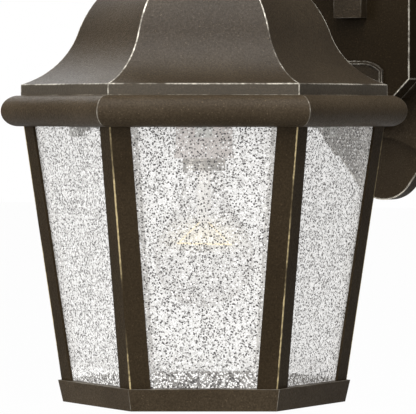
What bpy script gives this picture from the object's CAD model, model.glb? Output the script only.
"""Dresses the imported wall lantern: bronze lacquer, seedy glass, lamp, seams, stage and camera."""

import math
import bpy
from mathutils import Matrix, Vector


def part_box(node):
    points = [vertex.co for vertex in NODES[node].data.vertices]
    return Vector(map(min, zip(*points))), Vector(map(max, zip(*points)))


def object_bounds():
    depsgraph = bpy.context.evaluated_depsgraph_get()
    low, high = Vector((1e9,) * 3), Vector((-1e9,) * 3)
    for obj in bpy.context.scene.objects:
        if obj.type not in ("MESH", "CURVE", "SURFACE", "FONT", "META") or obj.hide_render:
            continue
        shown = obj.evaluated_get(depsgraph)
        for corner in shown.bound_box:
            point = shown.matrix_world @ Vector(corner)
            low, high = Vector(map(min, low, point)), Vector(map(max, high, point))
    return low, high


bl_info = {
    "name": "Outdoor wall lantern",
    "version": (1, 0, 0),
    "blender": (4, 5, 0),
    "location": "3D View > Sidebar > Lantern",
    "description": "Finishes a hexagonal wall lantern with rubbed bronze and seedy glass",
    "category": "Material",
}

import bmesh
import bpy
from bpy.props import FloatProperty, FloatVectorProperty, PointerProperty
from mathutils import Vector

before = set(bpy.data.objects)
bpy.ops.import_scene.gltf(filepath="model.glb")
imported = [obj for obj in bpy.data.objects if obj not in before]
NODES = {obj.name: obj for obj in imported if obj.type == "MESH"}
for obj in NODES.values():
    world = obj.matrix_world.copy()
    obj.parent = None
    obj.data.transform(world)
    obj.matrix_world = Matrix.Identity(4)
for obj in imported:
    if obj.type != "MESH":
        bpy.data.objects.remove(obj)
CAD_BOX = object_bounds()


def centre_of(node):
    """Middle of a CAD node's box."""
    low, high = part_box(node)
    return (Vector(low) + Vector(high)) / 2


# The lantern's upright axis, and the levels and reach of its sheet metal
AXIS = centre_of("nipple")
FILAMENT_Z = centre_of("bulb_filament").z
FASCIA_H = 0.0065
FASCIA_FOOT_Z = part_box("roof_shell")[0][2]
EAVE_Z = FASCIA_FOOT_Z + FASCIA_H
EAVE_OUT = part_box("roof_shell")[1][0] - AXIS.x
RING_TOP_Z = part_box("bottom_ring")[1][2]
TAIL_H = 0.026
TAIL_FADE = 0.004
TAIL_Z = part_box("wall_plate")[0][2] + TAIL_H
POST_W = 0.012

# Half the angle that one face of the hexagon spans
HALF_FACE = math.pi / 6

# How wide the rubbing reaches round a sharp edge of each kind
SHEET_EDGE = 0.0005
CAST_EDGE = 0.0012
PANEL_EDGE = 0.0018
PLATE_EDGE = 0.0022

# How dark the lacquer's grain is beside the deep brown, and how light its flecks beside the warm
GRAIN_TONE = 0.35
FLECK_TONE = 2.6

# Depth of the fine marks on bare metal and on moulded or glazed pieces
SCRATCH_DEPTH = 0.00003
MOTTLE_DEPTH = 0.00004

# How far the light in a pane's edge reaches out of a post, and in behind it
SIDE_GLOW_OUT = 0.004
SIDE_GLOW_IN = 0.002

WHITE = (1, 1, 1, 1)
SENSOR_MM = 36
SIGHT_END = 50

SHEET_NODES = ("roof_cap", "neck_ball", "cage_head", "crossbar")
POST_NODES = tuple(f"post_{k}" for k in range(1, 7))
PANE_NODES = tuple(f"pane_{k}" for k in range(1, 7))
CAST_NODES = ("bracket_housing", "bracket_bolts", "cap_nut_upper", "cap_nut_lower")
STEEL_NODES = (
    "clip_screws", "crossbar_screws", "lock_nuts", "arm_screws", "mounting_strap",
    "mounting_studs", "stud_nuts", "glass_clips",
)


# ---------- shader maths ----------


class Value:
    """A socket with one number on it, which takes part in Python sums."""

    def __init__(self, finish, socket):
        self.finish = finish
        self.socket = socket

    def maths(self, operation, *terms):
        return self.finish.maths(operation, *terms)

    def __add__(self, other):
        return self.maths("ADD", self, other)

    def __radd__(self, other):
        return self.maths("ADD", other, self)

    def __sub__(self, other):
        return self.maths("SUBTRACT", self, other)

    def __rsub__(self, other):
        return self.maths("SUBTRACT", other, self)

    def __mul__(self, other):
        return self.maths("MULTIPLY", self, other)

    def __rmul__(self, other):
        return self.maths("MULTIPLY", other, self)

    def __pow__(self, other):
        return self.maths("POWER", self, other)

    def __abs__(self):
        return self.maths("ABSOLUTE", self)


class Finish:
    """One material, or the world, and the nodes that make it."""

    def __init__(self, name, holder=None):
        self.material = holder or bpy.data.materials.new(name)
        self.material.use_nodes = True
        self.tree = self.material.node_tree
        self.tree.nodes.clear()

    def node(self, kind, settings=None, **sockets):
        """A node of that type, its settings first and then its sockets, by name."""
        node = self.tree.nodes.new(kind)
        for name, value in (settings or {}).items():
            setattr(node, name, value)
        for name, value in sockets.items():
            self.feed(self.find(node, name), value)
        return node

    def find(self, node, name):
        """The input that is switched on, by its name with spaces for underscores or its number."""
        if name[:2] == "in" and name[2:].isdigit():
            return node.inputs[int(name[2:])]
        name = name.replace("_", " ")
        return next(s for s in node.inputs if s.name == name and s.enabled)

    def feed(self, socket, value):
        """Links a socket to a value, another socket or a node, or sets the plain number on it."""
        if isinstance(value, Value):
            self.tree.links.new(value.socket, socket)
        elif isinstance(value, bpy.types.Node):
            self.tree.links.new(value.outputs[0], socket)
        elif isinstance(value, bpy.types.NodeSocket):
            self.tree.links.new(value, socket)
        else:
            socket.default_value = value

    def maths(self, operation, *terms):
        """One sum on numbers and values."""
        sockets = {f"in{i}": term for i, term in enumerate(terms)}
        node = self.node("ShaderNodeMath", {"operation": operation}, **sockets)
        return Value(self, node.outputs[0])

    def height(self):
        """How high a point is, in metres."""
        return self.split(self.position())[2]

    def position(self):
        """Where a point is on the lantern, as a vector in metres."""
        return self.node("ShaderNodeTexCoord").outputs["Object"]

    def split(self, vector):
        """The three numbers of a vector."""
        node = self.node("ShaderNodeSeparateXYZ", Vector=vector)
        return [Value(self, socket) for socket in node.outputs]

    def noise(self, size, detail=2.0, roughness=0.5, vector=None):
        """Soft noise from 0 to 1 whose lumps are about as wide as size, in metres."""
        node = self.node("ShaderNodeTexNoise", Vector=vector or self.position(),
                         Scale=1 / size, Detail=detail, Roughness=roughness)
        return Value(self, node.outputs[0])

    def ramp(self, value, start, end):
        """Rises smoothly from 0 at start to 1 at end, or falls if end is the lower."""
        falls = end < start
        node = self.node("ShaderNodeMapRange", {"interpolation_type": "SMOOTHSTEP"},
                         Value=value, From_Min=min(start, end), From_Max=max(start, end),
                         To_Min=1.0 if falls else 0.0, To_Max=0.0 if falls else 1.0)
        return Value(self, node.outputs[0])

    def largest(self, *values):
        """The largest of several values."""
        top = values[0]
        for value in values[1:]:
            top = self.maths("MAXIMUM", top, value)
        return top

    def mix(self, factor, low, high):
        """A colour between two colours, each a socket or three plain numbers."""
        low, high = ((*c, 1) if isinstance(c, (tuple, list)) else c for c in (low, high))
        node = self.node("ShaderNodeMix", {"data_type": "RGBA"}, in0=factor, in6=low, in7=high)
        return node.outputs[2]

    def bump(self, height, depth, strength=1.0):
        """A normal bent by a height from 0 to 1 that stands for a depth in metres."""
        return self.node("ShaderNodeBump", Strength=strength, Distance=depth,
                         Height=height).outputs[0]

    def surface(self, **sockets):
        """The shader, its varying sockets linked and its plain ones set on it."""
        shader = self.node("ShaderNodeBsdfPrincipled", **sockets)
        self.node("ShaderNodeOutputMaterial", Surface=shader)
        return self.material

    def white_background(self, shader, white, share, gloss):
        """Lifts a shader towards white, by a share for the camera and for rays through glass, and
        by gloss times that share for reflections."""
        path = self.node("ShaderNodeLightPath")
        seen = self.largest(Value(self, path.outputs["Is Camera Ray"]),
                            Value(self, path.outputs["Is Glossy Ray"]) * gloss,
                            Value(self, path.outputs["Is Transmission Ray"]))
        return self.node("ShaderNodeMixShader", in0=seen * share, in1=shader, in2=white)


def hexagon(finish):
    """A point's distances from the axis: straight out through a face, and sideways along it."""
    x, y, _ = finish.split(finish.position())
    x = x - AXIS.x
    y = y - AXIS.y
    radius = (x * x + y * y) ** 0.5
    turn = finish.maths("WRAP", finish.maths("ARCTAN2", y, x), HALF_FACE, -HALF_FACE)
    return radius * finish.maths("COSINE", turn), radius * abs(finish.maths("SINE", turn))


def ridge_distance(finish):
    """How far a point lies from the nearest upright corner of the hexagon, in metres."""
    out, along = hexagon(finish)
    return out * math.tan(HALF_FACE) - along


def level_line(finish, level, width):
    """One on a level line round the lantern, fading to zero half a width off it."""
    return finish.ramp(abs(finish.height() - level), width / 2, width / 6)


def sharp_edge(finish, radius):
    """One on the sharp edges of a piece and zero on its flat faces."""
    rounded = finish.node("ShaderNodeBevel", {"samples": 6}, Radius=radius).outputs[0]
    flat = finish.node("ShaderNodeNewGeometry").outputs["Normal"]
    dot = finish.node("ShaderNodeVectorMath", {"operation": "DOT_PRODUCT"}, in0=rounded, in1=flat)
    return finish.ramp(Value(finish, dot.outputs["Value"]), 0.985, 0.9)


def dress(material, *names):
    """Gives CAD nodes this material in place of their plain ones."""
    for name in names:
        mesh = NODES[name].data
        mesh.materials.clear()
        mesh.materials.append(material)


# ---------- sizes and colours ----------


class BronzeSettings(bpy.types.PropertyGroup):
    """Lacquer over the sheet metal and the castings"""

    deep: FloatVectorProperty(
        name="Deep brown", description="Lacquer in the darker clouds", subtype="COLOR",
        size=3, default=(0.040, 0.027, 0.0135), min=0, max=1)
    warm: FloatVectorProperty(
        name="Warm brown", description="Lacquer in the lighter clouds", subtype="COLOR",
        size=3, default=(0.052, 0.036, 0.0190), min=0, max=1)
    rubbed: FloatVectorProperty(
        name="Rubbed edge", description="Pale metal where an edge is worn", subtype="COLOR",
        size=3, default=(0.72, 0.67, 0.57), min=0, max=1)
    brass: FloatVectorProperty(
        name="Rubbed brass", description="Yellow metal along the posts' corners", subtype="COLOR",
        size=3, default=(0.60, 0.48, 0.26), min=0, max=1)
    rub_width: FloatProperty(
        name="Rubbed width", description="Width of the rubbed line along a corner",
        default=0.0008, min=0, unit="LENGTH")
    grain: FloatProperty(
        name="Grain", description="Size of the lacquer's fine grain",
        default=0.0011, min=0.0001, unit="LENGTH")
    grain_share: FloatProperty(
        name="Grain share", description="How far the grain darkens the lacquer",
        default=0.55, min=0, max=1, subtype="FACTOR")
    fleck_share: FloatProperty(
        name="Fleck share", description="How far the flecks lighten the lacquer",
        default=0.45, min=0, max=1, subtype="FACTOR")
    grain_depth: FloatProperty(
        name="Grain depth", description="Depth of the lacquer's fine grain",
        default=0.00012, min=0, unit="LENGTH")
    cloud: FloatProperty(
        name="Cloud", description="Size of the lacquer's soft clouds",
        default=0.045, min=0.001, unit="LENGTH")
    speck: FloatProperty(
        name="Speck", description="Size of the specks that a rubbed line breaks into",
        default=0.0022, min=0.0001, unit="LENGTH")
    wander: FloatProperty(
        name="Wander", description="Distance over which a post's rubbed line wanders",
        default=0.004, min=0.0001, unit="LENGTH")


class GlassSettings(bpy.types.PropertyGroup):
    """Seedy glass of the panes"""

    tint: FloatVectorProperty(
        name="Tint", description="Colour of the glass body", subtype="COLOR",
        size=3, default=(0.90, 0.88, 0.845), min=0, max=1)
    seed_colour: FloatVectorProperty(
        name="Seed rim", description="Dark rim of a seed", subtype="COLOR",
        size=3, default=(0.045, 0.04, 0.04), min=0, max=1)
    seed_light: FloatVectorProperty(
        name="Seed light", description="Pale seeds, which catch the light", subtype="COLOR",
        size=3, default=(0.95, 0.94, 0.93), min=0, max=1)
    haze: FloatProperty(
        name="Haze", description="How far the clear glass hides what is behind it",
        default=0.13, min=0, max=1, subtype="FACTOR")
    glow: FloatProperty(
        name="Glow", description="Light of the lamp that the glass scatters towards the viewer",
        default=0.3, min=0, max=1, subtype="FACTOR")
    seed_gap: FloatProperty(
        name="Seed spacing", description="Distance between neighbouring seeds",
        default=0.0017, min=0.0001, unit="LENGTH")
    bubble_gap: FloatProperty(
        name="Bubble spacing", description="Distance between the larger bubbles",
        default=0.011, min=0.001, unit="LENGTH")
    seed_depth: FloatProperty(
        name="Seed depth", description="How far the seeds raise the surface",
        default=0.0003, min=0, unit="LENGTH")
    foot_height: FloatProperty(
        name="Foot height", description="Height above the ring at which the crowded seeds end",
        default=0.014, min=0, unit="LENGTH")
    foot_fade: FloatProperty(
        name="Foot fade", description="Height over which the crowded seeds thin out",
        default=0.006, min=0, unit="LENGTH")
    crowding: FloatProperty(
        name="Crowding", description="Spacing of the crowded seeds, as a share of the others'",
        default=0.85, min=0.1, max=1, subtype="FACTOR")
    worm_share: FloatProperty(
        name="Line share", description="How strong the fine winding lines are",
        default=0.6, min=0, max=1, subtype="FACTOR")
    ream_haze: FloatProperty(
        name="Ream haze", description="How far the upright streaks hide what is behind them",
        default=0.03, min=0, max=1, subtype="FACTOR")
    side_haze: FloatProperty(
        name="Side haze", description="How far a pane's upright edges hide what is behind them",
        default=0.14, min=0, max=1, subtype="FACTOR")
    worm_size: FloatProperty(
        name="Line spacing", description="Distance between the fine winding lines",
        default=0.0018, min=0.0001, unit="LENGTH")
    worm_break: FloatProperty(
        name="Line length", description="How far a fine winding line runs before it breaks",
        default=0.005, min=0.0001, unit="LENGTH")
    ream_size: FloatProperty(
        name="Ream spacing", description="Distance between the faint upright streaks",
        default=0.007, min=0.0001, unit="LENGTH")


class LampSettings(bpy.types.PropertyGroup):
    """Bulb and lampholder"""

    halo_colour: FloatVectorProperty(
        name="Halo", description="Glow in the bulb's glass round the filament", subtype="COLOR",
        size=3, default=(0.9, 0.8, 0.5), min=0, max=1)
    halo: FloatProperty(
        name="Halo reach", description="How far the halo reaches above and below the filament",
        default=0.014, min=0.001, unit="LENGTH")
    filament_warm: FloatVectorProperty(
        name="Warm filament", description="Filament where it is cooler", subtype="COLOR",
        size=3, default=(1.0, 0.80, 0.45), min=0, max=1)
    filament_bright: FloatVectorProperty(
        name="Bright filament", description="Filament where it is hotter", subtype="COLOR",
        size=3, default=(1.0, 0.90, 0.62), min=0, max=1)
    coil: FloatProperty(
        name="Coil", description="Length of a hotter stretch of the filament",
        default=0.002, min=0.0001, unit="LENGTH")
    streak: FloatProperty(
        name="Streak", description="Size of the faint streaks in the bulb's glass",
        default=0.02, min=0.001, unit="LENGTH")
    stem_glow: FloatProperty(
        name="Stem glow", description="How far the lamp lights up the glass stem",
        default=0.5, min=0, max=1, subtype="FACTOR")
    holder_glow: FloatProperty(
        name="Lampholder glow", description="How far the lamp lights up the porcelain",
        default=0.2, min=0, max=1, subtype="FACTOR")


class StageSettings(bpy.types.PropertyGroup):
    """Camera, lamps and floor"""

    camera_at: FloatVectorProperty(
        name="Camera place", description="Where the camera stands", subtype="TRANSLATION",
        size=3, default=(1.0843, -2.1123, -0.0620))
    heading: FloatProperty(
        name="Heading", description="Turn of the camera from the wall's normal, to the left",
        default=math.radians(30.094), subtype="ANGLE")
    tilt: FloatProperty(
        name="Tilt", description="How far the camera looks down",
        default=math.radians(1.521), subtype="ANGLE")
    focal: FloatProperty(
        name="Focal length", description="Focal length on a 36 mm sensor, in millimetres",
        default=311.9, min=1, unit="CAMERA")
    floor_drop: FloatProperty(
        name="Floor drop", description="Floor below the lantern's underside",
        default=0.25, min=0, unit="LENGTH")
    floor_reach: FloatProperty(
        name="Floor reach", description="How far the floor runs from the middle to each side",
        default=12.0, min=1, unit="LENGTH")
    floor_colour: FloatVectorProperty(
        name="Floor colour", description="Colour of the pale floor", subtype="COLOR",
        size=3, default=(0.5, 0.5, 0.5), min=0, max=1)
    floor_share: FloatProperty(
        name="Floor whiteness", description="How far the camera sees the floor as plain white",
        default=0.98, min=0, max=1, subtype="FACTOR")
    left_power: FloatProperty(
        name="Left lamp", description="Power of the soft lamp on the left, in watts",
        default=38.0, min=0, unit="POWER")
    rim_power: FloatProperty(
        name="Rim lamp", description="Power of the soft lamp behind on the left, in watts",
        default=18.0, min=0, unit="POWER")
    front_power: FloatProperty(
        name="Front lamp", description="Power of the soft lamp over the camera, in watts",
        default=55.0, min=0, unit="POWER")
    low_power: FloatProperty(
        name="Low lamp", description="Power of the soft lamp level with the lantern, in watts",
        default=30.0, min=0, unit="POWER")
    top_power: FloatProperty(
        name="Top lamp", description="Power of the soft lamp high overhead, in watts",
        default=52.0, min=0, unit="POWER")
    lamp_size: FloatProperty(
        name="Lamp size", description="Width of each soft lamp",
        default=1.5, min=0.01, unit="LENGTH")
    ambient: FloatProperty(
        name="Ambient", description="Strength of the even light from all round",
        default=0.13, min=0)
    gloss_share: FloatProperty(
        name="Gloss share", description="How much of the white surroundings the lacquer mirrors",
        default=0.05, min=0, max=1, subtype="FACTOR")


class BuildPiece:
    """What every step of the build shares"""

    bl_options = {"REGISTER", "UNDO"}


# ---------- bronze ----------


def dulled(colour, grey, tone):
    """A colour drawn towards grey by a share, then lightened or darkened."""
    mean = sum(colour) / 3
    return [(part + (mean - part) * grey) * tone for part in colour]


def scaled(colour, tone):
    """A colour made lighter or darker."""
    return [part * tone for part in colour]


def bronze(context, name, rubs, strength=1.0, tone=1.0, gloss=0.15, run=0.02, grey=0.0,
           polish=None, worn=None):
    """Dark lacquer with pale rubbed edges.

    rubs(finish) gives the masks of the edges and strength how far they are rubbed. run is the
    distance that the rubbing goes before it breaks, polish(finish) is a mask that doesn't break,
    and worn is the colour of the rubbed metal. tone and grey change the lacquer's brown, and
    gloss its shine.
    """
    settings = context.scene.lantern_bronze
    finish = Finish(name)
    clouds = finish.ramp(finish.noise(settings.cloud, 3.0), 0.35, 0.65)
    grain = finish.ramp(finish.noise(settings.grain, 2.0, 0.7), 0.3, 0.7)
    flecks = finish.ramp(finish.noise(settings.grain * 0.8, 1.0), 0.66, 0.76)
    deep = dulled(settings.deep, grey, tone)
    warm = dulled(settings.warm, grey, tone)
    lacquer = finish.mix(clouds, deep, warm)
    lacquer = finish.mix(grain * settings.grain_share, lacquer, scaled(deep, GRAIN_TONE))
    lacquer = finish.mix(flecks * settings.fleck_share, lacquer, scaled(warm, FLECK_TONE))
    wear = finish.ramp(finish.noise(run, 4.0, 0.6), 0.34, 0.62)
    wear = wear * (0.35 + finish.ramp(finish.noise(settings.speck, 2.0), 0.3, 0.7))
    rub = finish.largest(*rubs(finish)) * wear * strength
    if polish:
        rub = finish.largest(rub, polish(finish))
    rub = finish.maths("MINIMUM", rub, 1.0)
    return finish.surface(
        Base_Color=finish.mix(rub, lacquer, tuple(worn or settings.rubbed)),
        Roughness=0.40 + grain * 0.12, Metallic=rub * 0.4, Specular_IOR_Level=gloss,
        Normal=finish.bump(grain, settings.grain_depth, 0.6),
    )


class LANTERN_OT_roof(BuildPiece, bpy.types.Operator):
    """Lacquers the roof and its cap, with pale hips and a pale eaves line"""

    bl_idname = "lantern.roof"
    bl_label = "Roof"

    def execute(self, context):
        width = context.scene.lantern_bronze.rub_width

        def rubs(finish):
            hips = finish.ramp(ridge_distance(finish), width, width * 0.35)
            out, _ = hexagon(finish)
            rim = finish.ramp(out, EAVE_OUT - width * 1.5, EAVE_OUT - width / 2)
            eaves = level_line(finish, EAVE_Z, width * 1.5) * rim
            foot = level_line(finish, FASCIA_FOOT_Z, width)
            return hips, eaves * 0.9, foot * 0.35

        def fascia(finish):
            return finish.ramp(finish.height(), EAVE_Z, EAVE_Z - width * 0.375) * 0.05

        def edges(finish):
            return (sharp_edge(finish, SHEET_EDGE),)

        dress(bronze(context, "bronze_roof", rubs, strength=1.15, tone=1.07, gloss=0.2,
                     run=0.03, grey=0.1, polish=fascia), "roof_shell")
        dress(bronze(context, "bronze_sheet", edges, strength=0.5), *SHEET_NODES)
        return {"FINISHED"}


class LANTERN_OT_moulding(BuildPiece, bpy.types.Operator):
    """Lacquers the eaves moulding, with thin pale mitres and fascia edges"""

    bl_idname = "lantern.moulding"
    bl_label = "Eaves moulding"

    def execute(self, context):
        width = context.scene.lantern_bronze.rub_width

        def rubs(finish):
            mitres = finish.ramp(ridge_distance(finish), width * 0.7, width * 0.25)
            out, _ = hexagon(finish)
            near = finish.ramp(out, EAVE_OUT + width * 1.75, EAVE_OUT + width * 0.625)
            seam = level_line(finish, FASCIA_FOOT_Z, width) * near
            return mitres * 0.35, seam * 0.7

        dress(bronze(context, "bronze_moulding", rubs, tone=1.5, gloss=0.08, grey=0.17),
              "eaves_moulding")
        return {"FINISHED"}


class LANTERN_OT_cage(BuildPiece, bpy.types.Operator):
    """Lacquers the six posts and the bottom ring"""

    bl_idname = "lantern.cage"
    bl_label = "Posts and bottom ring"

    def execute(self, context):
        settings = context.scene.lantern_bronze
        width = settings.rub_width

        def post_rubs(finish):
            shift = finish.noise(settings.wander) * width * 0.8
            return (finish.ramp(ridge_distance(finish) + shift, width * 1.4, width * 0.8),)

        def ring_rubs(finish):
            mitres = finish.ramp(ridge_distance(finish), width * 0.5, width * 0.15)
            top = level_line(finish, RING_TOP_Z, width * 0.8)
            return mitres * 0.25, top * 0.2

        dress(bronze(context, "bronze_posts", post_rubs, strength=1.6, tone=0.88, gloss=0.06,
                     run=0.05, worn=settings.brass), *POST_NODES)
        dress(bronze(context, "bronze_ring", ring_rubs, tone=1.58, gloss=0.06, grey=0.18),
              "bottom_ring")
        return {"FINISHED"}


class LANTERN_OT_bracket(BuildPiece, bpy.types.Operator):
    """Lacquers the arm, the front panel and the wall plate, with their edges rubbed"""

    bl_idname = "lantern.bracket"
    bl_label = "Wall bracket and arm"

    def execute(self, context):
        def cast_rubs(finish):
            return (sharp_edge(finish, CAST_EDGE),)

        def panel_rubs(finish):
            return (sharp_edge(finish, PANEL_EDGE),)

        def tail_rubs(finish):
            tail = finish.ramp(finish.height(), TAIL_Z + TAIL_FADE, TAIL_Z)
            return (sharp_edge(finish, PLATE_EDGE) * tail,)

        dress(bronze(context, "bronze_cast", cast_rubs, strength=0.12, tone=0.95, gloss=0.08,
                     grey=0.2), "arm", *CAST_NODES)
        dress(bronze(context, "bronze_plate", tail_rubs, strength=1.6, tone=1.2, gloss=0.05,
                     grey=0.15), "wall_plate")
        dress(bronze(context, "bronze_panel", panel_rubs, strength=1.6, tone=0.48, gloss=0.03,
                     run=0.03), "front_panel")
        dress(bronze(context, "bronze_emblem", cast_rubs, strength=0.6, tone=0.55, gloss=0.1),
              "emblem_plate")
        return {"FINISHED"}


# ---------- glass and lamp ----------


class Pane(Finish):
    """Glass full of seeds, its patterns laid askew so that no pane lines up with them."""

    # Where a dot starts to fade and where it ends, as shares of the gap between dots
    SEED = (0.28, 0.34)
    BUBBLE = (0.05, 0.085)
    BUBBLE_CORE = (0.02, 0.045)
    CROWDED_SEED = (0.33, 0.42)

    SKEW = (0.5, 0.7, 0.3)
    REAM_STRETCH = (1.0, 1.0, 0.16)

    def __init__(self, name, settings):
        super().__init__(name)
        self.settings = settings
        self.place = self.node("ShaderNodeVectorRotate", {"rotation_type": "EULER_XYZ"},
                               Vector=self.position(), Rotation=self.SKEW).outputs[0]

    def dots(self, gap, edge):
        """One inside round dots about gap apart, and a random number for each dot."""
        inner, outer = edge
        node = self.node("ShaderNodeTexVoronoi", {"feature": "F1"},
                         Vector=self.place, Scale=1 / gap, Randomness=1.0)
        dots = self.ramp(Value(self, node.outputs["Distance"]), outer, inner)
        return dots, self.split(node.outputs["Color"])[0]

    def foot(self):
        """One at the foot of a pane, where the seeds crowd together."""
        top = RING_TOP_Z + self.settings.foot_height
        return self.ramp(self.height(), top, top - self.settings.foot_fade)

    def sides(self):
        """One along the upright edges of a pane, where the light gathers."""
        return self.ramp(ridge_distance(self), POST_W + SIDE_GLOW_OUT, POST_W - SIDE_GLOW_IN)

    def worms(self):
        """One along short winding lines between the seeds."""
        lines = self.noise(self.settings.worm_size, 1.0, 0.5, self.place)
        breaks = self.noise(self.settings.worm_break, 1.0, 0.5, self.place)
        return self.ramp(abs(lines - 0.5), 0.035, 0.012) * self.ramp(breaks, 0.45, 0.6)

    def reams(self):
        """One along faint upright streaks, where the glass was drawn."""
        stretched = self.node("ShaderNodeVectorMath", {"operation": "MULTIPLY"},
                              in0=self.position(), in1=self.REAM_STRETCH).outputs[0]
        return self.ramp(self.noise(self.settings.ream_size, 2.0, 0.5, stretched), 0.5, 0.72)


class LANTERN_OT_panes(BuildPiece, bpy.types.Operator):
    """Fills the panes with small seeds and a few larger bubbles"""

    bl_idname = "lantern.panes"
    bl_label = "Seedy glass"

    def execute(self, context):
        settings = context.scene.lantern_glass
        pane = Pane("seedy_glass", settings)
        seeds, kind = pane.dots(settings.seed_gap, pane.SEED)
        bubble, _ = pane.dots(settings.bubble_gap, pane.BUBBLE)
        core, _ = pane.dots(settings.bubble_gap, pane.BUBBLE_CORE)
        crowd, shade = pane.dots(settings.seed_gap * settings.crowding, pane.CROWDED_SEED)
        foot = pane.foot()
        worms = pane.worms() * settings.worm_share
        marks = pane.largest(seeds, bubble * (1 - core), worms, crowd * foot)
        pale = pane.ramp(kind, 0.72, 0.76) * (1 - bubble)
        pale = pane.largest(pale, pane.ramp(shade, 0.4, 0.5) * foot)
        mark = pane.mix(pale, tuple(settings.seed_colour), tuple(settings.seed_light))
        colour = pane.mix(marks, tuple(settings.tint), mark)
        veil = settings.haze + pane.reams() * settings.ream_haze
        veil = veil + pane.sides() * settings.side_haze
        dress(pane.surface(
            Base_Color=colour, Roughness=0.1, Alpha=pane.largest(veil, marks * 0.95),
            Emission_Color=colour, Emission_Strength=settings.glow,
            Normal=pane.bump(marks, settings.seed_depth, 0.5),
        ), *PANE_NODES)
        return {"FINISHED"}


def metal(name, colour, roughness, size):
    """Bare metal, faintly clouded and scratched."""
    finish = Finish(name)
    clouds = finish.noise(size, 3.0)
    fine = finish.noise(size / 8, 2.0)
    return finish.surface(
        Base_Color=finish.mix(clouds, scaled(colour, 0.8), colour), Metallic=1.0,
        Roughness=roughness + fine * 0.2, Normal=finish.bump(fine, SCRATCH_DEPTH, 0.4),
    )


def plain(name, colour, roughness, size, glow=0.0):
    """A moulded or glazed material, faintly mottled, that the lamp may light up by its glow."""
    finish = Finish(name)
    clouds = finish.noise(size, 3.0)
    shade = finish.mix(clouds, scaled(colour, 0.82), colour)
    return finish.surface(
        Base_Color=shade, Roughness=roughness + clouds * 0.12,
        Emission_Color=shade, Emission_Strength=glow,
        Normal=finish.bump(finish.noise(size / 6), MOTTLE_DEPTH, 0.4),
    )


class LANTERN_OT_lamp(BuildPiece, bpy.types.Operator):
    """Finishes the bulb, its filament and cap, and the lampholder"""

    bl_idname = "lantern.lamp"
    bl_label = "Lamp and lampholder"

    def execute(self, context):
        settings = context.scene.lantern_lamp
        dress(self.bulb_glass(settings), "bulb_glass")
        dress(self.filament(settings), "bulb_filament")
        dress(plain("stem_glass", (0.95, 0.93, 0.90), roughness=0.12, size=0.004,
                    glow=settings.stem_glow), "bulb_stem")
        dress(metal("cap_steel", (0.56, 0.52, 0.47), roughness=0.3, size=0.003),
              "bulb_cap", "bulb_contact")
        dress(metal("contact_brass", (0.62, 0.44, 0.20), roughness=0.28, size=0.004),
              "centre_contact", "screw_shell")
        dress(plain("insulator_black", (0.02, 0.018, 0.016), roughness=0.25, size=0.001),
              "bulb_insulator")
        dress(plain("porcelain", (0.95, 0.86, 0.83), roughness=0.22, size=0.012,
                    glow=settings.holder_glow), "lampholder")
        return {"FINISHED"}

    def bulb_glass(self, settings):
        """Clear glass, denser towards its outline, with a warm halo level with the filament."""
        finish = Finish("bulb_glass_clear")
        weight = finish.node("ShaderNodeLayerWeight", Blend=0.35)
        facing = Value(finish, weight.outputs["Facing"])
        streak = finish.noise(settings.streak)
        halo = finish.ramp(abs(finish.height() - FILAMENT_Z), settings.halo, settings.halo / 7)
        halo = halo * ((1 - facing) ** 3)
        return finish.surface(
            Base_Color=(0.80, 0.72, 0.66, 1), Roughness=0.05,
            Emission_Color=finish.mix(halo, (0, 0, 0), tuple(settings.halo_colour)),
            Emission_Strength=1.0,
            Alpha=0.03 + (facing ** 3) * 0.35 + streak * 0.02 + halo * 0.12,
        )

    def filament(self, settings):
        """Glowing wire, brighter in places."""
        finish = Finish("filament_glow")
        glow = finish.mix(finish.noise(settings.coil), tuple(settings.filament_warm),
                          tuple(settings.filament_bright))
        return finish.surface(Base_Color=(0.3, 0.2, 0.1, 1), Emission_Color=glow,
                              Emission_Strength=1.0, Roughness=0.4)


class LANTERN_OT_fixings(BuildPiece, bpy.types.Operator):
    """Finishes the steel fixings, the gasket, the leads and their nuts"""

    bl_idname = "lantern.fixings"
    bl_label = "Fixings and leads"

    def execute(self, context):
        dress(metal("zinc_steel", (0.60, 0.60, 0.57), roughness=0.34, size=0.004), *STEEL_NODES)
        dress(metal("nipple_steel", (0.50, 0.47, 0.40), roughness=0.36, size=0.004), "nipple")
        dress(plain("green_screw", (0.03, 0.22, 0.08), roughness=0.35, size=0.002),
              "ground_screw")
        dress(plain("gasket_foam", (0.16, 0.16, 0.155), roughness=0.8, size=0.0015),
              "wall_gasket")
        dress(plain("black_sleeve", (0.018, 0.018, 0.02), roughness=0.42, size=0.002),
              "wire_live")
        dress(plain("white_sleeve", (0.72, 0.71, 0.67), roughness=0.42, size=0.002),
              "wire_neutral")
        dress(plain("orange_nut", (0.78, 0.22, 0.04), roughness=0.4, size=0.003), "wire_nuts")
        return {"FINISHED"}


# ---------- stage ----------


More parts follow.
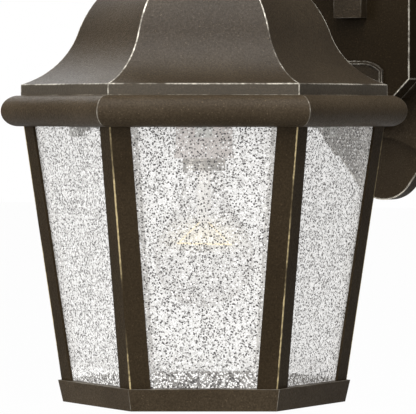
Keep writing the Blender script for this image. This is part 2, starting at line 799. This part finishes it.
class LANTERN_OT_stage(BuildPiece, bpy.types.Operator):
    """Sets the camera, the pale floor, the white surroundings and the soft lamps"""

    bl_idname = "lantern.stage"
    bl_label = "Stage"

    def execute(self, context):
        settings = context.scene.lantern_stage
        self.camera(context, settings)
        self.floor(context, settings)
        self.surroundings(context, settings)
        for name, place, power in (
            ("left_lamp", (-2.3, -2.4, 0.5), settings.left_power),
            ("rim_lamp", (-2.0, 1.3, 1.5), settings.rim_power),
            ("front_lamp", (0.8, -2.0, 1.9), settings.front_power),
            ("low_lamp", (0.6, -3.2, 0.1), settings.low_power),
            ("top_lamp", (0.3, -0.9, 2.6), settings.top_power),
        ):
            self.lamp(context, name, place, settings.lamp_size, power)
        context.scene.view_settings.view_transform = "Standard"
        return {"FINISHED"}

    def camera(self, context, settings):
        """A long lens in front and to the right, looking slightly down."""
        data = bpy.data.cameras.new("camera")
        data.lens = settings.focal
        data.sensor_width = SENSOR_MM
        data.clip_end = SIGHT_END
        camera = bpy.data.objects.new("camera", data)
        context.scene.collection.objects.link(camera)
        camera.location = settings.camera_at
        camera.rotation_euler = (math.pi / 2 - settings.tilt, 0, settings.heading)
        context.scene.camera = camera

    def floor(self, context, settings):
        """A pale floor that the camera sees as white, but for the shadow on it."""
        mesh = bpy.data.meshes.new("floor")
        build = bmesh.new()
        bmesh.ops.create_grid(build, x_segments=8, y_segments=8, size=settings.floor_reach)
        build.to_mesh(mesh)
        build.free()
        floor = bpy.data.objects.new("floor", mesh)
        floor.location = (0, 0, CAD_BOX[0][2] - settings.floor_drop)
        context.scene.collection.objects.link(floor)
        finish = Finish("pale_floor")
        paint = finish.node("ShaderNodeBsdfDiffuse", Color=(*settings.floor_colour, 1),
                            Roughness=1.0)
        white = finish.node("ShaderNodeEmission", Color=WHITE, Strength=1.0)
        seen = finish.white_background(paint, white, settings.floor_share, settings.gloss_share)
        finish.node("ShaderNodeOutputMaterial", Surface=seen)
        mesh.materials.append(finish.material)

    def surroundings(self, context, settings):
        """Even light from all round, and white behind the lantern."""
        context.scene.world = bpy.data.worlds.new("surroundings")
        finish = Finish("surroundings", context.scene.world)
        light = finish.node("ShaderNodeBackground", Color=WHITE, Strength=settings.ambient)
        white = finish.node("ShaderNodeBackground", Color=WHITE, Strength=1.0)
        seen = finish.white_background(light, white, 1.0, settings.gloss_share)
        finish.node("ShaderNodeOutputWorld", Surface=seen)

    def lamp(self, context, name, place, size, power):
        """A soft square lamp, turned to the lantern's middle."""
        data = bpy.data.lights.new(name, "AREA")
        data.shape = "SQUARE"
        data.size = size
        data.energy = power
        lamp = bpy.data.objects.new(name, data)
        lamp.location = place
        aim = AXIS - Vector(place)
        lamp.rotation_euler = aim.to_track_quat("-Z", "Y").to_euler()
        context.scene.collection.objects.link(lamp)


# ---------- panel and run ----------

STEPS = (
    LANTERN_OT_roof, LANTERN_OT_moulding, LANTERN_OT_cage, LANTERN_OT_bracket,
    LANTERN_OT_panes, LANTERN_OT_lamp, LANTERN_OT_fixings, LANTERN_OT_stage,
)


class LANTERN_PT_build(bpy.types.Panel):
    """Lists the steps that dress the lantern"""

    bl_idname = "LANTERN_PT_build"
    bl_label = "Wall lantern"
    bl_space_type = "VIEW_3D"
    bl_region_type = "UI"
    bl_category = "Lantern"

    def draw(self, context):
        for step in STEPS:
            self.layout.operator(step.bl_idname)


CLASSES = (
    BronzeSettings, GlassSettings, LampSettings, StageSettings, *STEPS, LANTERN_PT_build,
)


def register():
    for cls in CLASSES:
        bpy.utils.register_class(cls)
    bpy.types.Scene.lantern_bronze = PointerProperty(type=BronzeSettings)
    bpy.types.Scene.lantern_glass = PointerProperty(type=GlassSettings)
    bpy.types.Scene.lantern_lamp = PointerProperty(type=LampSettings)
    bpy.types.Scene.lantern_stage = PointerProperty(type=StageSettings)


def unregister():
    del bpy.types.Scene.lantern_stage
    del bpy.types.Scene.lantern_lamp
    del bpy.types.Scene.lantern_glass
    del bpy.types.Scene.lantern_bronze
    for cls in reversed(CLASSES):
        bpy.utils.unregister_class(cls)


def main():
    register()
    for step in STEPS:
        group, name = step.bl_idname.split(".")
        getattr(getattr(bpy.ops, group), name)()


if __name__ == "__main__":
    main()
